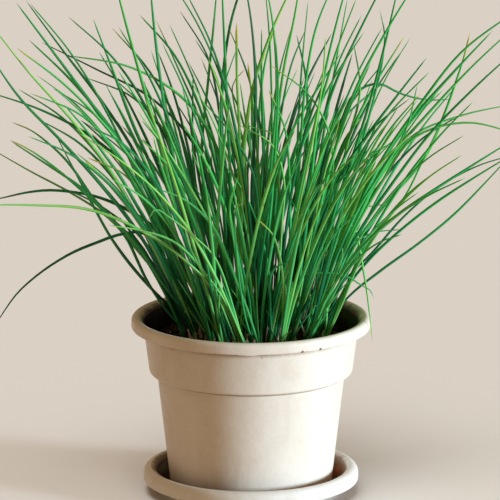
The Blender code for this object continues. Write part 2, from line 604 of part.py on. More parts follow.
def draw_leaf(shape, corners, route):
    """Carries a square of the neck along the leaf's centre line and closes it in a point."""
    length = route_length(route)
    reach = Vector(corners[0].co) - Vector(route[0])
    ring = list(corners)
    for k in range(1, len(route) - 1):
        ahead = Vector(route[k + 1] - route[k - 1]).normalized()
        reach = (reach - ahead * reach.dot(ahead)).normalized()
        across = ahead.cross(reach)
        radius = leaf_radius(length, k / (len(route) - 1))
        outer = []
        for aside, along in ((1, 0), (0, 1), (-1, 0), (0, -1)):
            outer.append(shape.verts.new(Vector(route[k]) + radius * (reach * aside + across * along)))
        for i in range(4):
            j = (i + 1) % 4
            shape.faces.new((ring[i], ring[j], outer[j], outer[i]))
        ring = outer
    tip = shape.verts.new(route[-1])
    for i in range(4):
        shape.faces.new((ring[i], ring[(i + 1) % 4], tip))


def make_plants(plants):
    finish = material("chive_leaf", (0.05, 0.26, 0.07), 0.45)
    for number, (place, turn, leaves) in enumerate(plants, 1):
        name = f"chive_plant_{number:02d}"
        add_object(name, plant_mesh(name, place, turn, leaves), finish)


if __name__ == "__main__":
    for old in list(bpy.data.objects):
        bpy.data.objects.remove(old)
    make_saucer()
    make_pot()
    plants = plan_plants()
    make_soil([place for place, _, _ in plants])
    make_plants(plants)
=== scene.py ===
"""Chives in a plastic flower pot on its saucer: the looks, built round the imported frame.

Metres, +Z up, the front of the pot towards -Y. The leaves are read from the frame's own plants, so
that each one lies where its solid lies.
"""

import math
import random

import bmesh
import bpy
import numpy as np
from mathutils import Matrix, Vector
from mathutils import noise as field


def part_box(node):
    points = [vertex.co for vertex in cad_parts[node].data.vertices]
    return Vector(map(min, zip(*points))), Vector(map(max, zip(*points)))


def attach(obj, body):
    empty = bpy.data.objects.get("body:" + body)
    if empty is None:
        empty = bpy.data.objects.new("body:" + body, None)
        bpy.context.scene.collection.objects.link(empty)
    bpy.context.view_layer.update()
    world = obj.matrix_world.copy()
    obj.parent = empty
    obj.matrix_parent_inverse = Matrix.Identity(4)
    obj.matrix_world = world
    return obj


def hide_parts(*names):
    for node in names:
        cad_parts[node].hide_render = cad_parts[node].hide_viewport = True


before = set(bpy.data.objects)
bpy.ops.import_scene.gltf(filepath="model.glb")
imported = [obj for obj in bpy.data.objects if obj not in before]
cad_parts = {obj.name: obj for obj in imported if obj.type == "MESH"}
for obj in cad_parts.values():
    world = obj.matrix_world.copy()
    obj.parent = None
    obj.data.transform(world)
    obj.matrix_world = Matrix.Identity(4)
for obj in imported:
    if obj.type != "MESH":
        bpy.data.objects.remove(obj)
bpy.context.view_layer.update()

MM = 0.001
TINY = 1e-9  # an outline's point nearer to the axis than this lies on it
SEED = 11

# Camera: a long lens, a little above the pot's rim.
CAMERA_DISTANCE = 3.4
CAMERA_ELEVATION = 13.1
CAMERA_TARGET = (-0.0006, 0.0, 0.1575)
FIELD_WIDTH = 0.3169  # what the camera takes in at the target
SENSOR = 36.0

# Stage and light
FLOOR_RADIUS = 14.0
FLOOR_COLOUR = (0.74, 0.76, 0.76)
AMBIENT = (0.370, 0.237, 0.136)
BACKDROP = (0.708, 0.631, 0.552)  # the far floor's colour, for what shows above its horizon

# Marbled plastic, from its darkest to its lightest tone
CREAM = ((0.745, 0.70, 0.625), (0.81, 0.79, 0.74), (0.85, 0.84, 0.80))
COOL_WHITE = ((0.765, 0.78, 0.75), (0.825, 0.865, 0.865), (0.86, 0.895, 0.90))
TURN_STEPS = 160

# The pot, in millimetres. Its wall's middle parts inside from outside: heights, and radii there.
POT_WALL = 1.6
POT_MIDDLE = ((3.0, 73.7, 76.8, 104.0, 108.5, 112.0), (50.8, 58.9, 64.0, 67.5, 70.4, 71.7))
POT_ROLL = 3.0
LIP_DROP = 7.0  # from the rim's top to the lip's lower edge
DRAIN_COUNT = 6
DRAIN_RADIUS = 4.5
DRAIN_REACH = 34

# Nicks on the lip's lower edge: the angle round the pot from the right, and in millimetres the
# drop and half the width.
LIP_NICKS = (
    (math.radians(270.5), 1.5, 1.6),
    (math.radians(267.0), 1.1, 2.2),
    (math.radians(239.0), 1.4, 1.4),
)

# Specks of dirt on and under the lip's lower edge: the place, the radius and how dark.
LIP_SPECKS = (
    ((0.0320, -0.0686, 0.1079), 0.0013, 0.95),
    ((0.0350, -0.0674, 0.1077), 0.0008, 0.85),
    ((0.0434, -0.0621, 0.1082), 0.0012, 0.95),
    ((0.0068, -0.0675, 0.1040), 0.0006, 0.75),
)

CREASE_HEIGHT = 0.0780  # the crease under the collar, where a line of painted shade runs
# the colour of the painted shade under the lip and in the crease under the collar
SHADE_TAN = (0.34, 0.225, 0.135)
FILM_TOP = 0.1115  # below this height the film covers the whole inside and takes the shine away

# The saucer, in millimetres, with its wall's middle as for the pot
SAUCER_TOP = 16.6
SAUCER_ROLL = 4.35
SAUCER_WALL = 1.7
SAUCER_MIDDLE = ((2.3, 4.4, 9.0, 12.2, 14.5, 16.1), (53.4, 55.9, 59.1, 61.9, 62.8, 63.9))
SAUCER_RINGS = (48.2, 22.0)

# Soil, and what lies on it
SOIL_TOP = 0.0985
SOIL_CROWN = 0.0015
CROWN_REACH = 0.066
SOIL_SUNK = 1.0 * MM  # how far the lumps' middle lies below the soil's top
SOIL_REACH = 0.0651
SOIL_BROWN = (0.020, 0.013, 0.008)
SOIL_STEPS = 120
SOIL_RINGS = 40
SOIL_SIDES = ((63.6, 0.090), (62.4, 0.0835), (57.2, 0.0788), (49.6, 0.0115))  # radius in mm, height
LITTER_REACH = 0.0628
LITTER_CLEAR = 3.2 * MM  # from a plant's middle
LITTER_SINK = 0.25
LUMP_SHAPES = 14
LONG_FORM = 2.0  # a lump more drawn out than this lies flat

# Papery skins, in millimetres and radians
SKINLESS = 0.35  # the share of plants without one
SKIN_RADIUS = 2.65
SKIN_THICKNESS = 0.16
SKIN_DEPTH = 1.5  # below the soil's top
SKIN_SPANS = (2.4, 4.6)
SKIN_HEIGHTS = (5.0, 13.0)
SKIN_FLARES = (0.2, 1.5)
SKIN_STEPS = 14
SKIN_ROWS = 5

# Leaf colours, from the darkest to the lightest tone
LEAF_GREENS = (
    (0.0, (0.008, 0.130, 0.045)),
    (0.3, (0.022, 0.330, 0.085)),
    (0.6, (0.052, 0.530, 0.115)),
    (0.85, (0.120, 0.600, 0.118)),
    (1.0, (0.280, 0.670, 0.120)),
)
CLUMP_SHADE_GREEN = (0.002, 0.030, 0.015)  # painted shade, low in the clump
# the bluer colour of the painted shade low in the clump
SHADE_TINT = (0.86, 1.0, 1.45)
DRY_YELLOW = (0.60, 0.56, 0.05)
DRY_ORANGE = (0.62, 0.38, 0.06)
PALE_FOOT = (0.52, 0.46, 0.33)

# Leaves with a look of their own: the tip's x and z in millimetres, the tone from 0, dark, to 1,
# light, and the share of the length at which the leaf is dry. At 1.2 it stays green.
OWN_LOOKS = (
    (-170, 208, 0.95, 1.2),
    (-88, 193, 0.9, 1.2),
    (-64, 194, 0.9, 1.2),
    (-62, 214, 0.75, 1.2),
    (-165, 107, 0.25, 1.2),
    (-102, 226, 0.95, 1.0),
    (-152, 235, 0.6, 1.0),
    (-151, 233, 0.35, 1.05),
    (-8, 245, 0.92, 1.2),
    (-7, 240, 0.95, 1.2),
    (11, 265, 0.6, 1.03),
    (4, 194, 0.95, 1.0),
    (-4, 205, 0.7, 1.02),
    (-8, 219, 0.8, 1.2),
    (-9, 215, 0.85, 1.2),
    (-41, 188, 0.9, 1.2),
    (24, 205, 0.6, 1.2),
    (25, 165, 0.6, 1.2),
    (-3, 274, 0.9, 1.0),
    (-9, 303, 0.95, 1.0),
    (138, 296, 0.75, 1.0),
    (168, 247, 0.75, 1.2),
    (170, 238, 0.8, 1.2),
    (172, 213, 0.15, 1.2),
    (166, 224, 0.5, 1.2),
    (77, 137, 0.75, 1.1),
    (79, 102, 0.95, 1.2),
)
OWN_LOOK_REACH = 7 * MM
CROWD_DRY = (1.3,) * 10 + (1.08, 1.05, 1.02)  # the same share for any other leaf, drawn at random
DRIES = 1.1  # below this share a leaf of OWN_LOOKS has a blunt dry tip

# Leaves
NECK_TOP = 0.1045  # where a plant's leaves leave its sheath
WELD = 1e-6  # the CAD mesh's corners are joined where they round to the same multiple of this
LEVEL = 0.02 * MM  # how level the CAD's rings at the neck are
LEAF_STEPS = 36
LEAF_SIDES = 10
LEAF_ROOT = 5 * MM  # how far a leaf reaches down into its sheath
LEAF_GIRTHS = (0.76, 1.04)  # its thickness, as a share of its CAD thickness
THINNEST = 0.10 * MM  # its least radius
POINT_RADIUS = 0.03 * MM
CURVE_STEPS = 12
BACK_ROW = 0.02  # plants further back than this get the most finer leaves
FRONT_ROW = -0.015  # and plants further forward than this, young leaves
FILL_LENGTHS = (0.5, 0.85)  # a finer leaf's length, as a share of its neighbours'
FILL_SHARES = (0.2, 0.5)  # how far it lies from the first neighbour towards the second
FILL_JOINTS = 10
YOUNG_COUNT = 3
YOUNG_LENGTHS = (0.14, 0.42)  # a young leaf's length, as a share of its neighbours'
YOUNG_GIRTHS = (0.55, 0.8)
YOUNG_BEND = 10 * MM
LEAF_FOOT = 0.64  # a leaf's thickness at its foot, as a share of its CAD thickness
LEAF_TIP = 0.5  # and just before its point, as a share of that at its last ring
DRY_TIP = 0.95  # the same for a blunt dry tip
TONE_MIDDLE = 0.50
TONE_SPREAD = 0.22
TONE_TOP = 0.95
PAINTED_SHADE_SLOPE = 9.0  # painted shade: how fast leaves get lighter towards the front and darker towards the back of the clump, per metre
PAINTED_LIGHT_SIDE = 2.5  # painted light: and lighter towards the right, the side the key light comes from
STRIP_GAP = 0.06  # free on each side of a leaf's strip in the UV square, as a share of the strip
CAP_UV = 0.0015  # the radius of a tube's end there

# Sheaths: heights above the soil and radii, in millimetres
SHEATH_FOOT = 7 * MM  # below this depth a CAD plant is its sheath's foot only
SHEATH_SIDES = 16
SHEATH_LEVELS = (
    (-7.8, 1.9),
    (-5.0, 2.5),
    (-2.0, 2.6),
    (0.5, 2.4),
    (2.5, 2.25),
    (4.5, 2.0),
    (6.0, 1.5),
    (6.8, 0.8),
)


def add_object(name, data):
    """A new object, in the scene's own collection."""
    made = bpy.data.objects.new(name, data)
    bpy.context.scene.collection.objects.link(made)
    return made


def mesh_of(shape, name):
    """Turns a bmesh into a mesh, and frees it."""
    mesh = bpy.data.meshes.new(name)
    shape.to_mesh(mesh)
    shape.free()
    return mesh


def turns(steps):
    """The angles of a circle's steps."""
    return [2 * math.pi * i / steps for i in range(steps)]


class Paint:
    """A Principled material, with short calls for the nodes that feed it."""

    def __init__(self, name, **values):
        self.material = bpy.data.materials.new(name)
        self.material.use_nodes = True
        self.tree = self.material.node_tree
        self.shader = self.tree.nodes["Principled BSDF"]
        for key, value in values.items():
            self.set(key.replace("_", " "), value)

    def set(self, name, value):
        self.join(self.shader.inputs[name], value)

    def join(self, socket, value):
        if isinstance(value, bpy.types.NodeSocket):
            self.tree.links.new(value, socket)
        elif isinstance(value, tuple) and len(value) == 3 and socket.type == "RGBA":
            socket.default_value = (*value, 1.0)
        else:
            socket.default_value = value

    def node(self, kind, sockets, output=0, **settings):
        made = self.tree.nodes.new("ShaderNode" + kind)
        for key, value in settings.items():
            setattr(made, key, value)
        for key, value in sockets.items():
            self.join(made.inputs[key], value)
        return made.outputs[output]

    def value(self, name):
        """A number stored on the mesh."""
        return self.node("Attribute", {}, "Fac", attribute_name=name)

    def vector(self, name):
        return self.node("Attribute", {}, "Vector", attribute_name=name)

    def place(self, stretch=(1.0, 1.0, 1.0)):
        """Object coordinates, in metres, stretched along each axis."""
        where = self.node("TexCoord", {}, "Object")
        return self.node("Mapping", {"Vector": where, "Scale": stretch})

    def noise(self, where, scale, detail=3.0, roughness=0.5, distortion=0.0):
        sockets = {"Vector": where, "Scale": scale, "Detail": detail}
        sockets |= {"Roughness": roughness, "Distortion": distortion}
        return self.node("TexNoise", sockets)

    def cells(self, where, scale):
        return self.node("TexVoronoi", {"Vector": where, "Scale": scale}, "Distance")

    def ramp(self, value, *stops):
        """Maps a number to the colours or greys given at positions from 0 to 1."""
        made = self.tree.nodes.new("ShaderNodeValToRGB")
        self.join(made.inputs[0], value)
        elements = made.color_ramp.elements
        while len(elements) < len(stops):
            elements.new(0.5)
        for element, (position, colour) in zip(elements, stops):
            element.position = position
            grey = isinstance(colour, float)
            element.color = (colour, colour, colour, 1.0) if grey else (*colour, 1.0)
        return made.outputs[0]

    def mix(self, share, first, second, blend="MIX"):
        sockets = {0: share, 6: first, 7: second}
        return self.node("Mix", sockets, 2, data_type="RGBA", blend_type=blend)

    def math(self, operation, first, second=0.0, third=0.0, clamp=False):
        sockets = {0: first, 1: second, 2: third}
        return self.node("Math", sockets, operation=operation, use_clamp=clamp)

    def times(self, first, second):
        return self.math("MULTIPLY", first, second)

    def between(self, value, low, high):
        """0 below low, 1 above high and smooth in between. Low may be the larger."""
        sockets = {"Value": value, "From Min": low, "From Max": high}
        return self.node("MapRange", sockets, interpolation_type="SMOOTHSTEP")

    def stretched(self, where, scale):
        return self.node("VectorMath", {0: where, 1: scale}, operation="MULTIPLY")

    def bump(self, *layers):
        """Layers of (height, depth in metres, strength), each on top of the last."""
        normal = None
        for height, depth, strength in layers:
            sockets = {"Height": height, "Distance": depth, "Strength": strength}
            if normal is not None:
                sockets["Normal"] = normal
            normal = self.node("Bump", sockets)
        self.set("Normal", normal)


def leaf_paint():
    """Smooth green skin with lengthwise lines, dry at some tips, with painted shade low in the
    clump that makes it darker and bluer there.
    """
    paint = Paint("chive_leaf", Roughness=0.36)
    paint.shader.inputs["Specular IOR Level"].default_value = 0.22
    along, tone, skin = paint.value("along"), paint.value("tone"), paint.vector("skin")
    patches = paint.noise(skin, 0.5, detail=2.0)
    shifted = paint.math("ADD", tone, paint.math("MULTIPLY_ADD", patches, 0.5, -0.25), clamp=True)
    green = paint.ramp(shifted, *LEAF_GREENS)
    lines = paint.noise(paint.stretched(skin, (7.0, 7.0, 0.05)), 1.5)
    shades = paint.ramp(lines, (0.3, 0.78), (0.5, 0.97), (0.7, 1.0))
    green = paint.mix(1.0, green, shades, "MULTIPLY")
    # painted shade: leaves of a darker tone turn nearly black low in the clump, where the shade
    # falls
    inside = paint.between(paint.value("height"), 0.085, 0.010)
    clump_shade = paint.times(inside, paint.between(tone, 0.9, 0.45))
    green = paint.mix(paint.times(clump_shade, 0.80), green, CLUMP_SHADE_GREEN)
    # painted shade: low in the clump the leaves are tinted bluer, as they look in shade
    shade_tint = paint.between(paint.value("height"), 0.130, 0.040)
    green = paint.mix(shade_tint, green, SHADE_TINT, "MULTIPLY")
    tip = paint.math("SUBTRACT", along, paint.value("dry_from"))
    green = paint.mix(paint.between(tip, -0.12, 0.0), green, DRY_YELLOW)
    green = paint.mix(paint.between(tip, -0.01, 0.05), green, DRY_ORANGE)
    low = paint.between(paint.value("height"), 0.016, -0.002)
    cloud = paint.noise(paint.place(), 55.0)
    pale = paint.times(low, paint.between(cloud, 0.55, 0.68))
    paint.set("Base Color", paint.mix(pale, green, PALE_FOOT))
    paint.set("Roughness", paint.ramp(paint.noise(skin, 2.2), (0.3, 0.30), (0.7, 0.44)))
    paint.bump((lines, 0.0002, 0.5), (patches, 0.0004, 0.3))
    return paint.material


def sheath_paint():
    """The plant's foot: white to rosy at the soil, green above, dusted with soil."""
    paint = Paint("chive_sheath", Roughness=0.45)
    skin = paint.vector("skin")
    height = paint.value("height")
    lines = paint.noise(paint.stretched(skin, (8.0, 8.0, 0.15)), 1.5)
    cloud = paint.noise(paint.place(), 55.0)
    pale = paint.mix(paint.between(lines, 0.4, 0.65), (0.42, 0.36, 0.22), (0.55, 0.40, 0.30))
    green = paint.mix(paint.between(lines, 0.35, 0.7), (0.006, 0.10, 0.03), (0.03, 0.20, 0.04))
    share = paint.math("ADD", paint.math("MULTIPLY_ADD", cloud, -0.012, 0.006), height)
    colour = paint.mix(paint.between(share, -0.001, 0.003), pale, green)
    dirt = paint.noise(paint.place(), 260.0, detail=4.0)
    soiled = paint.times(paint.between(height, 0.006, 0.0), paint.between(dirt, 0.38, 0.55))
    colour = paint.mix(soiled, colour, SOIL_BROWN)
    paint.set("Base Color", colour)
    paint.bump((lines, 0.0003, 0.6))
    return paint.material


def skin_paint():
    """Dry papery skins left at the foot of the plants."""
    paint = Paint("papery_skin", Roughness=0.7)
    grain = paint.noise(paint.place((900.0, 900.0, 90.0)), 1.0, detail=4.0)
    broad = paint.noise(paint.place(), 130.0)
    colour = paint.ramp(
        broad,
        (0.3, (0.62, 0.47, 0.33)),
        (0.5, (0.72, 0.62, 0.50)),
        (0.62, (0.80, 0.74, 0.66)),
        (0.75, (0.50, 0.26, 0.10)),
    )
    colour = paint.mix(paint.between(grain, 0.5, 0.75), colour, (0.42, 0.27, 0.14))
    paint.set("Base Color", colour)
    paint.bump((grain, 0.0002, 0.5))
    return paint.material


def plastic_paint(name, stain, tones=CREAM, shine=0.3):
    """Moulded plastic, lightly marbled and scuffed. What stains it is added by the caller."""
    paint = Paint(name, Roughness=0.42)
    paint.shader.inputs["Specular IOR Level"].default_value = shine
    place = paint.place()
    marbled = paint.place((1.0, 1.0, 0.55))
    marble = paint.noise(marbled, 42.0, detail=5.0, roughness=0.6, distortion=0.8)
    grain = paint.noise(place, 420.0, detail=3.0)
    specks = paint.cells(place, 900.0)
    colour = paint.ramp(marble, (0.30, tones[0]), (0.5, tones[1]), (0.72, tones[2]))
    scuffed = paint.times(paint.between(grain, 0.45, 0.7), 0.18)
    colour = paint.mix(scuffed, colour, (0.70, 0.62, 0.50))
    dotted = paint.times(paint.between(specks, 0.16, 0.06), 0.22)
    colour = paint.mix(dotted, colour, (0.52, 0.42, 0.30))
    colour = stain(paint, place, colour)
    paint.set("Base Color", colour)
    rough = paint.noise(paint.place((1.0, 1.0, 3.0)), 90.0, detail=4.0)
    paint.set("Roughness", paint.ramp(rough, (0.3, 0.34), (0.7, 0.52)))
    paint.bump((marble, 0.0006, 0.12), (grain, 0.0002, 0.30))
    return paint.material


def pot_stain(paint, place, colour):
    """Dark film inside, reaching higher on the left as painted shade, greenish towards the top on
    the right. Outside, painted shade under the lip and in the crease under the collar.
    """
    inner = paint.value("inner")
    height = paint.node("SeparateXYZ", {0: place}, "Z")
    side = paint.node("SeparateXYZ", {0: place}, "X")
    cloud = paint.noise(paint.place((1.0, 1.0, 0.35)), 95.0, detail=4.0)
    mark_level = paint.math("MULTIPLY_ADD", cloud, 0.005, height)
    film = paint.between(cloud, 0.45, 0.75)
    film = paint.mix(film, (0.004, 0.0035, 0.0012), (0.012, 0.010, 0.004))
    # greener towards the top of the inner wall, blended in on the right
    greenish_top = paint.between(height, 0.1005, 0.108)
    greenish_top = paint.mix(greenish_top, (0.020, 0.012, 0.005), (0.040, 0.056, 0.014))
    film = paint.mix(paint.between(side, 0.020, 0.050), film, greenish_top)
    # painted shade: the dark film reaches higher on the left, where the leaves shade the inner wall
    mark_level = paint.math("MULTIPLY_ADD", side, -0.010, mark_level)
    mark_level = paint.math("MULTIPLY_ADD", paint.between(side, 0.02, -0.06), -0.0016, mark_level)
    haze = paint.times(inner, paint.between(mark_level, 0.1168, 0.1150))
    colour = paint.mix(paint.times(haze, 0.7), colour, (0.26, 0.25, 0.15))
    film_and_shade_mask = paint.times(inner, paint.between(mark_level, 0.1157, 0.1138))
    colour = paint.mix(film_and_shade_mask, colour, film)
    streaks = paint.noise(paint.place((1.0, 1.0, 0.06)), 210.0, detail=3.0)
    shown = paint.times(inner, paint.between(streaks, 0.58, 0.72))
    shown = paint.times(shown, paint.between(height, 0.115, 0.110))
    colour = paint.mix(paint.times(shown, 0.3), colour, (0.16, 0.11, 0.06))
    # painted shade: a tan line in the crease under the collar and a patchy tan band just under the
    # lip
    outer = paint.math("SUBTRACT", 1.0, inner)
    from_crease = paint.math("ABSOLUTE", paint.math("SUBTRACT", height, CREASE_HEIGHT))
    line = paint.between(from_crease, 0.0013, 0.0003)
    under = paint.between(height, 0.1028, 0.1064)
    under = paint.times(under, paint.between(height, 0.1077, 0.1075))
    under = paint.times(under, paint.ramp(cloud, (0.35, 0.4), (0.6, 0.95)))
    lip_and_crease_shade = paint.times(outer, paint.math("MAXIMUM", line, under))
    colour = paint.mix(paint.times(lip_and_crease_shade, 0.85), colour, SHADE_TAN)
    ragged = paint.times(paint.noise(place, 1500.0), 0.0012)
    for spot, size, share in LIP_SPECKS:
        apart = paint.node("VectorMath", {0: place, 1: spot}, "Value", operation="DISTANCE")
        mark = paint.between(paint.math("ADD", apart, ragged), size + 0.0008, size)
        colour = paint.mix(paint.times(mark, share), colour, (0.050, 0.024, 0.012))
    return colour


def saucer_stain(paint, place, colour):
    """Stains in the dish below the lip, darker on the left partly as painted shade, rusty on the
    right partly as a painted reflection of warm brown.
    """
    inner = paint.value("inner")
    height = paint.node("SeparateXYZ", {0: place}, "Z")
    side = paint.node("SeparateXYZ", {0: place}, "X")
    right = paint.between(side, -0.02, 0.04)
    cloud = paint.noise(place, 70.0, detail=4.0)
    mark_level = paint.math("ADD", height, paint.times(cloud, 0.004))
    # painted shade: the marks reach higher on the left
    mark_level = paint.math("MULTIPLY_ADD", side, 0.006, mark_level)
    tan = paint.times(inner, paint.between(mark_level, 0.0190, 0.0170))
    # dark brown on the left, partly painted shade, and tan on the right
    brown = paint.mix(right, (0.085, 0.048, 0.022), (0.26, 0.15, 0.085))
    colour = paint.mix(paint.times(tan, 0.92), colour, brown)
    low = paint.times(inner, paint.between(mark_level, 0.0158, 0.0125))
    # the rust is partly a painted reflection of warm brown
    rust_and_reflection = paint.mix(paint.between(cloud, 0.35, 0.65), (0.24, 0.060, 0.016), (0.08, 0.035, 0.016))
    return paint.mix(low, colour, paint.mix(right, (0.030, 0.015, 0.007), rust_and_reflection))


def soil_paint():
    paint = Paint("potting_soil", Roughness=0.95)
    place = paint.place()
    clods = paint.noise(place, 160.0, detail=6.0, roughness=0.65)
    grit = paint.cells(place, 750.0)
    colour = paint.ramp(
        clods,
        (0.3, (0.010, 0.007, 0.005)),
        (0.52, (0.028, 0.018, 0.011)),
        (0.72, (0.060, 0.038, 0.022)),
    )
    gritty = paint.times(paint.between(grit, 0.2, 0.08), 0.4)
    colour = paint.mix(gritty, colour, (0.12, 0.075, 0.04))
    paint.set("Base Color", colour)
    paint.set("Roughness", paint.ramp(clods, (0.3, 0.75), (0.6, 0.97)))
    paint.bump((clods, 0.002, 0.7), (grit, 0.0006, 0.5))
    return paint.material


def crumb_paint(name, dark, light, grain_scale):
    """Bits in the soil. Each bit has its own tone."""
    paint = Paint(name, Roughness=0.9)
    grain = paint.noise(paint.place(), grain_scale, detail=4.0)
    colour = paint.mix(paint.value("tone"), dark, light)
    colour = paint.mix(paint.between(grain, 0.35, 0.7), colour, paint.mix(0.6, colour, dark))
    paint.set("Base Color", colour)
    paint.set("Roughness", paint.ramp(grain, (0.3, 0.78), (0.7, 0.98)))
    paint.bump((grain, 0.0004, 0.6))
    return paint.material


class Builder:
    """Gathers points into one mesh, with its values per point and its UVs per face corner."""

    def __init__(self, *names):
        self.points, self.faces, self.uvs, self.paints = [], [], [], []
        self.values = {name: [] for name in names}
        self.count = 0

    def rows(self, points, strip, paint=0, **values):
        """A closed tube from an array (rows, sides, 3). strip is its place in the UV square."""
        rows, sides = points.shape[:2]
        first = self.count
        self.points.append(points.reshape(-1, 3))
        for name, value in values.items():
            shape = (rows, sides) + self.width(name)
            self.values[name].append(np.broadcast_to(value, shape).reshape(-1, *self.width(name)))
        self.count += rows * sides
        u = strip[0] + (strip[2] - strip[0]) * np.linspace(0, 1, rows)
        v = strip[1] + (strip[3] - strip[1]) * np.linspace(0, 1, sides + 1)
        for i in range(rows - 1):
            for j in range(sides):
                k = (j + 1) % sides
                low, high = first + i * sides, first + (i + 1) * sides
                self.faces.append((low + j, low + k, high + k, high + j))
                self.uvs += [(u[i], v[j]), (u[i], v[j + 1]), (u[i + 1], v[j + 1]), (u[i + 1], v[j])]
                self.paints.append(paint)
        middle = (v[0] + v[-1]) / 2
        for row in (0, rows - 1):
            ring = [first + row * sides + j for j in range(sides)]
            self.faces.append(tuple(ring if row else ring[::-1]))
            corners = []
            for a in turns(sides):
                corners.append((u[row] + CAP_UV * math.cos(a), middle + CAP_UV * math.sin(a)))
            self.uvs += corners if row else corners[::-1]
            self.paints.append(paint)

    def solid(self, points, faces, paint=0, **values):
        """A closed lump, with no UVs of its own."""
        self.points.append(points)
        for name, value in values.items():
            self.values[name].append(np.broadcast_to(value, (len(points),) + self.width(name)))
        self.faces += [tuple(self.count + i for i in face) for face in faces]
        self.paints += [paint] * len(faces)
        self.count += len(points)

    @staticmethod
    def width(name):
        return (3,) if name == "skin" else ()

    def piece(self, name, *materials, smooth=True):
        mesh = bpy.data.meshes.new(name)
        mesh.from_pydata(np.concatenate(self.points).tolist(), [], self.faces)
        for key, parts in self.values.items():
            kind = "FLOAT_VECTOR" if key == "skin" else "FLOAT"
            stored = mesh.attributes.new(key, kind, "POINT")
            data = np.concatenate(parts).astype(np.float32)
            stored.data.foreach_set("vector" if key == "skin" else "value", data.ravel())
        if self.uvs:
            layer = mesh.uv_layers.new(name="OFBake")
            layer.data.foreach_set("uv", np.array(self.uvs, np.float32).ravel())
        for material in materials:
            mesh.materials.append(material)
        mesh.polygons.foreach_set("material_index", self.paints)
        mesh.polygons.foreach_set("use_smooth", [smooth] * len(mesh.polygons))
        mesh.update()
        return add_object(name, mesh)


def finish_piece(piece, *nodes, slot=None):
    """Every piece rides on the row's one body. Some stand for CAD nodes, which it hides; the slot
    they are given is not used.
    """
    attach(piece, "root")
    if nodes:
        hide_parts(*nodes)


def leaves_of(node):
    """The leaves of a CAD plant, each as (centres, radii) from the sheath's neck to the tip.

    In the CAD mesh a leaf is a chain of rings of four corners that ends in one point, so its rings
    are the layers of neighbours counted from that point, up to a level square at the neck.
    """
    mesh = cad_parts[node].data
    points = np.array([corner.co for corner in mesh.vertices])
    grid = np.round(points / WELD)
    _, first, index = np.unique(grid, axis=0, return_index=True, return_inverse=True)
    points, index = points[first], index.reshape(-1)
    near = [set() for _ in points]
    for face in mesh.polygons:
        corners = [index[corner] for corner in face.vertices]
        for corner in corners:
            near[corner].update(corners)
    leaves = []
    for tip, around in enumerate(near):
        if len(around) != 1 + 4 or points[tip][2] < SOIL_TOP:
            continue
        layer, seen = {tip}, {tip}
        centres, radii = [points[tip]], [0.0]
        level = False
        while not level:
            layer = set().union(*(near[corner] for corner in layer)) - seen
            seen |= layer
            ring = points[sorted(layer)]
            centres.append(ring.mean(0))
            radii.append(float(np.linalg.norm(ring - centres[-1], axis=1).mean()))
            level = np.abs(ring[:, 2] - NECK_TOP).max() < LEVEL
        leaves.append((np.array(centres[::-1]), np.array(radii[::-1])))
    return leaves


def along_line(points):
    """How far along a line of points each one lies."""
    return np.concatenate([[0], np.cumsum(np.linalg.norm(np.diff(points, axis=0), axis=1))])


def resampled(points, along, wanted):
    """The places on a line of points at the wanted distances along it."""
    return np.stack([np.interp(wanted, along, points[:, k]) for k in range(3)], axis=1)


def smooth_path(points, count):
    """Evenly spaced points on a smooth curve through the given ones, with the place of each among
    the given ones, and the curve's length.
    """
    ends = np.vstack([2 * points[0] - points[1], points, 2 * points[-1] - points[-2]])
    fine = []
    for a, b, c, d in zip(ends, ends[1:], ends[2:], ends[3:]):
        t = np.linspace(0, 1, CURVE_STEPS, endpoint=False)[:, None]
        square, cube = 2 * a - 5 * b + 4 * c - d, 3 * b - a - 3 * c + d
        fine.append(0.5 * (2 * b + (c - a) * t + square * t**2 + cube * t**3))
    fine = np.vstack(fine + [points[-1:]])
    along = along_line(fine)
    even = np.linspace(0, along[-1], count)
    joint = np.interp(even, along, np.linspace(0, len(points) - 1, len(fine)))
    return resampled(fine, along, even), joint, along[-1]


def carried_axes(path):
    """Two directions across a path at each point, carried along it without turning."""
    ahead = np.gradient(path, axis=0)
    ahead /= np.linalg.norm(ahead, axis=1, keepdims=True)
    side = np.array([1.0, 0.0, 0.0]) if abs(ahead[0][0]) < 0.9 else np.array([0.0, 1.0, 0.0])
    first = []
    for direction in ahead:
        side = side - direction * (side @ direction)
        side /= np.linalg.norm(side)
        first.append(side)
    first = np.array(first)
    return first, np.cross(ahead, first)


def leaf_between(one, two, rng, lengths=FILL_LENGTHS):
    """A finer and shorter leaf that grows between two leaves of a plant, nearer to the first."""
    reach = np.linspace(0, rng.uniform(*lengths), FILL_JOINTS)
    lines = []
    for centres, _ in (one, two):
        along = along_line(centres)
        lines.append(resampled(centres, along, reach * along[-1]))
    share = rng.uniform(*FILL_SHARES)
    centres = lines[0] * (1 - share) + lines[1] * share
    thick = min(one[1][1], two[1][1]) * rng.uniform(0.8, 1.0)
    return centres, thick * (1 - 0.5 * np.linspace(0, 1, FILL_JOINTS) ** 3)


def young_leaf(one, two, rng):
    """A short thin leaf at the foot of a front plant, that bends its own way."""
    centres, radii = leaf_between(one, two, rng, YOUNG_LENGTHS)
    bend = np.array([rng.uniform(-1.0, 1.0), rng.uniform(-1.0, 0.4), 0.0]) * YOUNG_BEND
    bent = centres + bend * np.linspace(0, 1, FILL_JOINTS)[:, None] ** 1.6
    return bent, radii * rng.uniform(*YOUNG_GIRTHS)


def own_look(tip):
    """The tone and the dry share of a leaf that OWN_LOOKS names by its tip."""
    for x, z, tone, dry_from in OWN_LOOKS:
        if math.hypot(tip[0] - x * MM, tip[2] - z * MM) < OWN_LOOK_REACH:
            return tone, dry_from
    return None


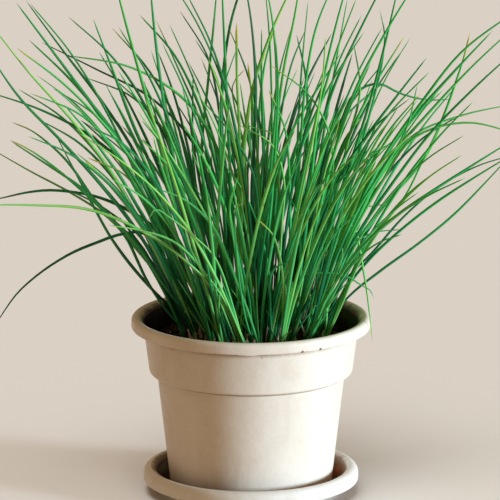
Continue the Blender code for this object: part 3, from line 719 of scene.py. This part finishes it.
def crowd_look(root, rng):
    """The tone of any other leaf and its dry share. The tone is random round a painted light and
    shade: lighter at the front and the right, darker at the back.
    """
    # painted shade towards the back of the clump and painted light towards the right
    usual = TONE_MIDDLE - root[1] * PAINTED_SHADE_SLOPE + max(root[0], 0.0) * PAINTED_LIGHT_SIDE
    tone = rng.gauss(usual, TONE_SPREAD)
    return min(max(tone, 0.0), TONE_TOP), rng.choice(CROWD_DRY)


def add_leaf(builder, centres, radii, strip, rng):
    """A leaf: a tube, a little flattened and twisted, slender at its foot and with a fine tip."""
    start = centres[0] - (0, 0, LEAF_ROOT)
    path, joint, length = smooth_path(np.vstack([start, centres]), LEAF_STEPS)
    own = own_look(centres[-1])
    blunt = DRY_TIP if own and own[1] < DRIES else LEAF_TIP
    known = [radii[1], radii[1], *radii[1:-1], radii[-2] * blunt]
    radius = np.interp(joint, np.arange(len(known)), known) * rng.uniform(*LEAF_GIRTHS)
    share = np.linspace(0, 1, LEAF_STEPS)
    slender = LEAF_FOOT + (1 - LEAF_FOOT) * np.clip(share / 0.4, 0, 1) ** 0.8
    radius = np.maximum(radius * slender, THINNEST)
    radius[-1] = POINT_RADIUS
    across, over = carried_axes(path)
    flat = rng.uniform(0.0, 0.25) * np.clip(share * 4, 0, 1)
    twist = rng.uniform(0, 2 * math.pi) + rng.uniform(-2.2, 2.2) * share
    swell = np.sin(share * rng.uniform(9, 22) + rng.uniform(0, 2 * math.pi))
    radius = radius * (1 + 0.05 * swell)
    turn = np.linspace(0, 2 * math.pi, LEAF_SIDES, endpoint=False)
    wide = np.cos(turn)[None] * (1 + 0.4 * flat[:, None])
    thin = np.sin(turn)[None] * (1 - flat[:, None])
    c, s = np.cos(twist)[:, None], np.sin(twist)[:, None]
    x = (wide * c - thin * s) * radius[:, None]
    y = (wide * s + thin * c) * radius[:, None]
    points = path[:, None] + across[:, None] * x[..., None] + over[:, None] * y[..., None]
    tone, dry_from = own or crowd_look(centres[0], rng)
    lengths = np.broadcast_to(share[:, None] * length / (10 * MM), (LEAF_STEPS, LEAF_SIDES))
    builder.rows(
        points,
        strip,
        along=share[:, None],
        tone=tone,
        dry_from=dry_from,
        skin=skin_place(turn, lengths, rng),
        height=points[..., 2] - NECK_TOP,
    )


def skin_place(turn, lengths, rng):
    """A place on a tube's skin: round it on a unit circle and along it in centimetres."""
    offset = rng.uniform(0, 90)
    x, y = (np.broadcast_to(part, lengths.shape) for part in (np.cos(turn), np.sin(turn)))
    return np.stack([x, y, lengths], axis=2) + offset


def add_sheath(builder, place, strip, rng):
    """The plant's foot: a slim sleeve that closes on its leaves as they leave it."""
    turn = np.linspace(0, 2 * math.pi, SHEATH_SIDES, endpoint=False)
    lean, ridge = rng.uniform(0, 2 * math.pi), rng.uniform(0, 2 * math.pi)
    slant = 1.3 * np.cos(turn - lean)
    rings = []
    for i, (level, radius) in enumerate(SHEATH_LEVELS):
        reach = radius * (1 + 0.04 * np.cos(3 * turn + ridge + i)) * MM
        z = (level + slant * max(0.0, level) / SHEATH_LEVELS[-1][0]) * MM
        x, y = place[0] + reach * np.cos(turn), place[1] + reach * np.sin(turn)
        rings.append(np.stack([x, y, SOIL_TOP + z], axis=1))
    points = np.array(rings)
    height = points[..., 2] - SOIL_TOP
    skin = skin_place(turn, height / (10 * MM), rng)
    values = {"along": 0.0, "tone": 0.5, "dry_from": CROWD_DRY[0], "skin": skin, "height": height}
    builder.rows(points, strip, paint=1, **values)


def make_plants():
    """One piece for each CAD plant. Returns the places where they stand."""
    materials = (leaf_paint(), sheath_paint())
    places = []
    nodes = sorted(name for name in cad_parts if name.startswith("chive_plant"))
    for number, node in enumerate(nodes, 1):
        rng = random.Random(SEED * 1000 + number)
        leaves = leaves_of(node)
        corners = np.array([corner.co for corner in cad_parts[node].data.vertices])
        foot = corners[corners[:, 2] < SOIL_TOP - SHEATH_FOOT].mean(0)
        builder = Builder("along", "tone", "dry_from", "skin", "height")
        crowd = [leaf for leaf in leaves if not own_look(leaf[0][-1])]
        if len(crowd) > 1:
            wanted = 3 if foot[1] > BACK_ROW else 2 if foot[1] > 0 else 1
            leaves += [leaf_between(*rng.sample(crowd, 2), rng) for _ in range(wanted)]
        if len(leaves) > 1 and foot[1] < FRONT_ROW:
            leaves += [young_leaf(*rng.sample(leaves, 2), rng) for _ in range(YOUNG_COUNT)]
        bands = len(leaves) + 1
        strips = [((k + STRIP_GAP) / bands, (k + 1 - STRIP_GAP) / bands) for k in range(bands)]
        for (centres, radii), (low, high) in zip(leaves, strips):
            add_leaf(builder, centres, radii, (0.01, low, 0.99, high), rng)
        low, high = strips[-1]
        add_sheath(builder, foot, (0.01, low, 0.35, high), rng)
        piece = builder.piece(f"chives_{number:02d}", *materials)
        finish_piece(piece, node, slot="chive_leaf")
        places.append((foot[0], foot[1]))
    return places


def fillet(outline, radius, steps=4):
    """An outline of (r, z) with its corners rounded. A corner on the axis stays."""
    points = [np.array(point) for point in outline]
    made = []
    for i, point in enumerate(points):
        before, after = points[i - 1] - point, points[(i + 1) % len(points)] - point
        size = min(np.linalg.norm(before), np.linalg.norm(after))
        if point[0] < TINY or size < TINY:
            made.append(point)
            continue
        reach = min(radius, 0.42 * size)
        one = point + before / np.linalg.norm(before) * reach
        two = point + after / np.linalg.norm(after) * reach
        for t in np.linspace(0, 1, steps):
            made.append(one * (1 - t) ** 2 + 2 * point * t * (1 - t) + two * t * t)
    return made


def arc(centre, radius, start, end, steps):
    """Points on a circle of an outline, from one angle to another in degrees."""
    angles = [math.radians(start + (end - start) * i / steps) for i in range(steps + 1)]
    return [(centre[0] + radius * math.cos(a), centre[1] + radius * math.sin(a)) for a in angles]


def turned(name, outline, lift, inner, bend=None):
    """A closed outline in millimetres turned about Z. It stores which points are inside."""
    steps = TURN_STEPS
    shape = bmesh.new()
    inside = shape.verts.layers.float.new("inner")
    rings = []
    for radius, z in outline:
        if radius < TINY:
            ring = [shape.verts.new((0, 0, (z + lift) * MM))] * steps
        else:
            ring = []
            for a in turns(steps):
                dz = bend(a, radius, z) if bend else 0.0
                at = (radius * math.cos(a), radius * math.sin(a), z + dz + lift)
                ring.append(shape.verts.new(Vector(at) * MM))
        for corner in ring:
            corner[inside] = inner(radius, z)
        rings.append(ring)
    for low, high in zip(rings, rings[1:] + rings[:1]):
        for i in range(steps):
            j = (i + 1) % steps
            corners = list(dict.fromkeys((low[i], low[j], high[j], high[i])))
            if len(corners) > 2:
                shape.faces.new(corners)
    bmesh.ops.recalc_face_normals(shape, faces=shape.faces)
    return add_object(name, mesh_of(shape, name))


def inside_of(middle, floor):
    """What marks an outline's points that are inside: above the floor, within the wall's middle."""

    def inner(radius, z):
        return 1.0 if z > floor and radius < np.interp(z, *middle) else 0.0

    return inner


def nicked(top, rim):
    """Small moulding nicks that hang from the lower edge of the lip."""

    def bend(angle, radius, z):
        edge = max(0.0, 1 - abs(z - (top - LIP_DROP)) / 0.9) if radius > rim - 2.2 else 0.0
        drop = 0.0
        for at, size, wide in LIP_NICKS:
            drop += size * math.exp(-((angle - at) * radius / wide) ** 2)
        return -drop * edge

    return bend


def shade(piece, angle=40):
    piece.data.shade_smooth()
    piece.data.set_sharp_from_angle(angle=math.radians(angle))


def cut_drains(pot, floor):
    """Round drain holes in a ring, through the pot's floor."""
    shape = bmesh.new()
    radius = DRAIN_RADIUS * MM
    for i in range(DRAIN_COUNT):
        a = 2 * math.pi * (i + 0.5) / DRAIN_COUNT
        centre = (DRAIN_REACH * MM * math.cos(a), DRAIN_REACH * MM * math.sin(a), floor)
        bmesh.ops.create_cone(
            shape,
            cap_ends=True,
            segments=40,
            radius1=radius,
            radius2=radius,
            depth=9 * MM,
            matrix=Matrix.Translation(centre),
        )
    cutter = add_object("drain_cutter", mesh_of(shape, "drain_cutter"))
    cut = pot.modifiers.new("Drain holes", "BOOLEAN")
    cut.operation, cut.solver, cut.object = "DIFFERENCE", "EXACT", cutter
    bpy.context.view_layer.update()
    shown = pot.evaluated_get(bpy.context.evaluated_depsgraph_get())
    applied = bpy.data.meshes.new_from_object(shown)
    pot.modifiers.clear()
    pot.data = applied
    bpy.data.objects.remove(cutter)


def make_pot():
    """The pot, with the frame's outline and rounder corners."""
    low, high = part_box("pot")
    rim, top, lift = high.x / MM, (high.z - low.z) / MM, low.z / MM
    wall = POT_WALL
    outline = [(0.0, 1.6), (45.5, 1.6), (46.3, 0.0), (49.0, 0.0), (50.5, 0.9), (51.6, 3.0)]
    outline += [(59.7, 73.5), (63.4, 74.6), (64.5, 75.5), (64.8, 77.2)]
    outline += [(68.3, 104.0), (69.6, 106.4), (71.5, 107.9)]
    outline += [(rim - wall - 0.9, 108.0), (rim - wall, 107.0), (rim - wall + 0.3, top - 7.3)]
    outline += [(rim - 0.5, top - 7.3), (rim, top - 6.6)]
    outline += arc((rim - POT_ROLL, top - POT_ROLL), POT_ROLL, 0, 90, 6)
    outline += [(71.6, 110.8), (70.2, 109.8), (68.2, 107.7), (66.7, 102.0), (63.2, 77.8)]
    outline += [(58.1, 73.9), (50.4, 6.6), (47.8, 3.6), (0.0, 3.6)]
    fine = fillet(outline, 1.0)
    pot = turned("pot_body", fine, lift, inside_of(POT_MIDDLE, 3.5), nicked(top, rim))
    cut_drains(pot, low.z + 2 * MM)
    shade(pot)
    pot.data.materials.clear()
    pot.data.materials.append(plastic_paint("pot_plastic", pot_stain))
    pot.data.materials.append(plastic_paint("pot_film", pot_stain, shine=0.08))
    inside = [share.value > 0.5 for share in pot.data.attributes["inner"].data]
    for face in pot.data.polygons:
        film_and_shade_mask = face.center.z < FILM_TOP and all(inside[corner] for corner in face.vertices)
        face.material_index = int(film_and_shade_mask)
    finish_piece(pot, "pot", slot="pot_plastic")


def make_saucer():
    """The saucer, with the frame's outline and rounder corners."""
    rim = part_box("saucer")[1].x / MM
    top, roll, wall = SAUCER_TOP, SAUCER_ROLL, SAUCER_WALL
    middle = (rim - roll, top - roll)
    outline = [(0.0, 0.0), (52.0, 0.0), (53.5, 0.6), (56.4, 6.2), (59.6, 10.4)]
    outline += arc(middle, roll - wall, 150, 0, 8)
    outline += [(rim - wall, top - 8.4), (rim - wall + 0.4, top - 8.8)]
    outline += [(rim - 0.5, top - 8.8), (rim, top - 7.9)]
    outline += arc(middle, roll, 0, 180, 18)
    outline += [(57.4, 9.0), (54.6, 4.4), (51.8, 2.4)]
    for radius in SAUCER_RINGS:
        outline += [(radius + 1.5, 2.4), (radius + 1.1, 3.7)]
        outline += [(radius - 1.1, 3.7), (radius - 1.5, 2.4)]
    outline += [(0.0, 2.4)]
    saucer = turned("saucer_dish", fillet(outline, 0.8), 0.0, inside_of(SAUCER_MIDDLE, 2.3))
    shade(saucer)
    saucer.data.materials.append(plastic_paint("saucer_plastic", saucer_stain, COOL_WHITE))
    finish_piece(saucer, "saucer", slot="saucer_plastic")


def soil_height(x, y):
    """The soil's surface: a low crown, with lumps."""
    reach = math.hypot(x, y)
    crown = SOIL_TOP + SOIL_CROWN * (1 - reach / CROWN_REACH) - SOIL_SUNK
    lumps = 1.1 * field.noise(Vector((x, y, 0.3)) * 70)
    lumps += 0.6 * field.noise(Vector((x, y, 1.7)) * 190)
    edge = 1.6 * max(0.0, reach / SOIL_REACH - 0.9) / 0.1
    return crown + (lumps - edge) * MM


def make_soil():
    """The soil as a full plug that ends in a lumpy surface."""
    low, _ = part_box("soil")
    shape = bmesh.new()
    steps = SOIL_STEPS
    circle = [(math.cos(a), math.sin(a)) for a in turns(steps)]
    grid = []
    for i in range(SOIL_RINGS + 1):
        radius = 4 * MM + (SOIL_REACH - 4 * MM) * i / SOIL_RINGS
        row = [(radius * c, radius * s) for c, s in circle]
        grid.append([shape.verts.new((x, y, soil_height(x, y))) for x, y in row])
    for radius, z in (*SOIL_SIDES, (46.2, low.z + 0.4 * MM)):
        grid.append([shape.verts.new((radius * MM * c, radius * MM * s, z)) for c, s in circle])
    for one, two in zip(grid, grid[1:]):
        for i in range(steps):
            j = (i + 1) % steps
            shape.faces.new((one[i], two[i], two[j], one[j]))
    shape.faces.new(grid[0])
    shape.faces.new(grid[-1][::-1])
    bmesh.ops.recalc_face_normals(shape, faces=shape.faces)
    soil = add_object("soil_plug", mesh_of(shape, "soil_plug"))
    shade(soil, 60)
    soil.data.materials.append(soil_paint())
    finish_piece(soil, "soil", slot="soil")


def lump_shapes(rng, count, level):
    """Rough lumps of about unit radius, each (points, faces)."""
    shapes = []
    for _ in range(count):
        shape = bmesh.new()
        bmesh.ops.create_icosphere(shape, subdivisions=level, radius=1.0)
        shift = Vector((rng.uniform(0, 50), rng.uniform(0, 50), rng.uniform(0, 50)))
        points = []
        for corner in shape.verts:
            swell = 1 + 0.45 * field.noise(corner.co * 1.3 + shift)
            swell += 0.25 * field.noise(corner.co * 3.1 + shift)
            points.append(list(corner.co * swell))
        faces = [[corner.index for corner in face.verts] for face in shape.faces]
        shape.free()
        shapes.append((np.array(points), faces))
    return shapes


def random_turn(rng):
    axis = Vector((rng.gauss(0, 1), rng.gauss(0, 1), rng.gauss(0, 1))).normalized()
    return np.array(Matrix.Rotation(rng.uniform(0, 2 * math.pi), 3, axis))


def free_place(rng, plants, clear):
    """A place on the soil that no plant stands on."""
    while True:
        reach, turn = LITTER_REACH * math.sqrt(rng.random()), rng.uniform(0, 2 * math.pi)
        x, y = reach * math.cos(turn), reach * math.sin(turn)
        if all(math.hypot(x - px, y - py) > clear for px, py in plants):
            return x, y


def scatter(name, material, plants, rng, count, sizes, stretch, level):
    """Many lumps on the soil, as one piece. stretch is the range of their three proportions."""
    shapes = lump_shapes(rng, LUMP_SHAPES, level)
    builder = Builder("tone")
    for _ in range(count):
        points, faces = rng.choice(shapes)
        size = sizes[0] + (sizes[1] - sizes[0]) * rng.random() ** 2.2
        form = np.array([rng.uniform(*span) for span in stretch])
        turn = random_turn(rng)
        if form.max() > LONG_FORM:
            flat = np.array(Matrix.Rotation(rng.uniform(0, 2 * math.pi), 3, "Z"))
            tilt = np.array(Matrix.Rotation(rng.gauss(0, 0.22), 3, "Y"))
            turn = flat @ tilt
        placed = (points * form * size * MM) @ turn.T
        x, y = free_place(rng, plants, LITTER_CLEAR + size * 0.4 * MM)
        lift = -placed[:, 2].min() * (1 - LITTER_SINK)
        at = np.array([x, y, soil_height(x, y) + lift])
        builder.solid(placed + at, faces, tone=rng.random())
    finish_piece(builder.piece(name, material, smooth=False), slot="soil")


def make_litter(plants):
    """Loose bits on the soil. Each kind has its count, radii in millimetres and proportions."""
    rng = random.Random(SEED + 5)
    dark = crumb_paint("soil_crumb", (0.012, 0.008, 0.005), (0.070, 0.042, 0.024), 900.0)
    bark = crumb_paint("bark_chip", (0.075, 0.035, 0.018), (0.26, 0.15, 0.075), 700.0)
    pearl = crumb_paint("perlite_grain", (0.50, 0.47, 0.42), (0.80, 0.79, 0.75), 1400.0)
    round_form = ((0.8, 1.2),) * 3
    flat_form = ((2.1, 3.6), (0.8, 1.4), (0.3, 0.6))
    scatter("soil_crumbs", dark, plants, rng, 1500, (0.45, 2.1), round_form, 1)
    scatter("bark_chips", bark, plants, rng, 150, (0.5, 1.3), flat_form, 1)
    scatter("perlite_grains", pearl, plants, rng, 26, (0.4, 1.0), round_form, 2)


def skin_faces():
    """The faces of a bent sheet with two sides and a border, its outer points before its inner."""
    across = SKIN_STEPS + 1
    layer = across * (SKIN_ROWS + 1)
    faces = []
    for i in range(SKIN_ROWS):
        for j in range(SKIN_STEPS):
            a, b = i * across + j, i * across + j + 1
            c, d = b + across, a + across
            faces.append((a, b, c, d))
            faces.append((layer + d, layer + c, layer + b, layer + a))
    border = list(range(across))
    border += [i * across + SKIN_STEPS for i in range(1, SKIN_ROWS + 1)]
    border += [SKIN_ROWS * across + j for j in range(SKIN_STEPS - 1, -1, -1)]
    border += [i * across for i in range(SKIN_ROWS - 1, 0, -1)]
    for a, b in zip(border, border[1:] + border[:1]):
        faces.append((b, a, layer + a, layer + b))
    return faces


def make_skins(plants):
    """Papery sleeves round the foot of some plants, open on one side and torn at the top."""
    rng = random.Random(SEED + 9)
    builder = Builder("tone")
    faces = skin_faces()
    for x, y in plants:
        if rng.random() < SKINLESS:
            continue
        span = rng.uniform(*SKIN_SPANS)
        start = rng.uniform(0, 2 * math.pi)
        tall = rng.uniform(*SKIN_HEIGHTS)
        flare = rng.uniform(*SKIN_FLARES)
        torn = [rng.uniform(0.55, 1.0) for _ in range(SKIN_STEPS + 1)]
        points = []
        for inset in (0.0, SKIN_THICKNESS):
            for i in range(SKIN_ROWS + 1):
                share = i / SKIN_ROWS
                for j in range(SKIN_STEPS + 1):
                    a = start + span * j / SKIN_STEPS
                    side = 2 * j / SKIN_STEPS - 1
                    edge = 1 - 0.5 * side**4
                    z = -SKIN_DEPTH + (tall * torn[j] * edge + SKIN_DEPTH) * share
                    radius = SKIN_RADIUS - inset + 0.22 * math.sin(5 * a + 3 * share) * share
                    radius += flare * share**2 * (0.4 + 0.6 * abs(side))
                    out = Vector((radius * math.cos(a), radius * math.sin(a), z)) * MM
                    points.append((x + out.x, y + out.y, SOIL_TOP + out.z))
        builder.solid(np.array(points), faces, tone=rng.random())
    piece = builder.piece("papery_skins", skin_paint())
    finish_piece(piece, slot="chive_leaf")


def make_stage():
    """A plain pale floor that casts no light back, and warm soft light from all round."""
    shape = bmesh.new()
    bmesh.ops.create_circle(shape, cap_ends=True, segments=96, radius=FLOOR_RADIUS)
    floor = add_object("floor", mesh_of(shape, "floor"))
    paint = Paint("floor", Base_Color=FLOOR_COLOUR, Roughness=0.9)
    floor.data.materials.append(paint.material)
    floor.visible_diffuse = False
    world = bpy.data.worlds.new("studio")
    world.use_nodes = True
    nodes, links = world.node_tree.nodes, world.node_tree.links
    light = nodes["Background"]
    light.inputs["Color"].default_value = (*AMBIENT, 1.0)
    seen = nodes.new("ShaderNodeBackground")
    seen.inputs["Color"].default_value = (*BACKDROP, 1.0)
    chosen = nodes.new("ShaderNodeMixShader")
    ray = nodes.new("ShaderNodeLightPath")
    links.new(ray.outputs["Is Camera Ray"], chosen.inputs[0])
    links.new(light.outputs[0], chosen.inputs[1])
    links.new(seen.outputs[0], chosen.inputs[2])
    links.new(chosen.outputs[0], nodes["World Output"].inputs["Surface"])
    bpy.context.scene.world = world
    bpy.context.scene.view_settings.view_transform = "Standard"
    return floor


def add_sun(name, azimuth, elevation, softness, strength, colour, only=None):
    """A far light. Azimuth 0 is in front and 90 on the right. It may light one object only."""
    light = bpy.data.lights.new(name, "SUN")
    light.angle, light.energy, light.color = math.radians(softness), strength, colour
    made = add_object(name, light)
    a, e = math.radians(azimuth), math.radians(elevation)
    away = Vector((math.sin(a) * math.cos(e), -math.cos(a) * math.cos(e), math.sin(e)))
    made.rotation_euler = away.to_track_quat("Z", "Y").to_euler()
    if only:
        lit = bpy.data.collections.new(name + "_lit")
        lit.objects.link(only)
        made.light_linking.receiver_collection = lit


def make_lights(floor):
    """A large low light from the right, and a high soft one that only lights the floor."""
    add_sun("key", 68, 7, softness=14, strength=4.42, colour=(0.81, 0.935, 1.0))
    add_sun("floor_wash", -20, 70, softness=30, strength=1.5, colour=(1.0, 0.98, 0.95), only=floor)


def make_camera():
    camera = bpy.data.cameras.new("camera")
    camera.sensor_width = SENSOR
    camera.lens = SENSOR * CAMERA_DISTANCE / FIELD_WIDTH
    camera.clip_start, camera.clip_end = 0.1, 100.0
    made = add_object("camera", camera)
    tilt = math.radians(CAMERA_ELEVATION)
    away = Vector((0, -math.cos(tilt), math.sin(tilt)))
    made.location = Vector(CAMERA_TARGET) + away * CAMERA_DISTANCE
    made.rotation_euler = away.to_track_quat("Z", "Y").to_euler()
    bpy.context.scene.camera = made


make_camera()
make_lights(make_stage())
make_saucer()
make_pot()
make_soil()
plants = make_plants()
make_litter(plants)
make_skins(plants)
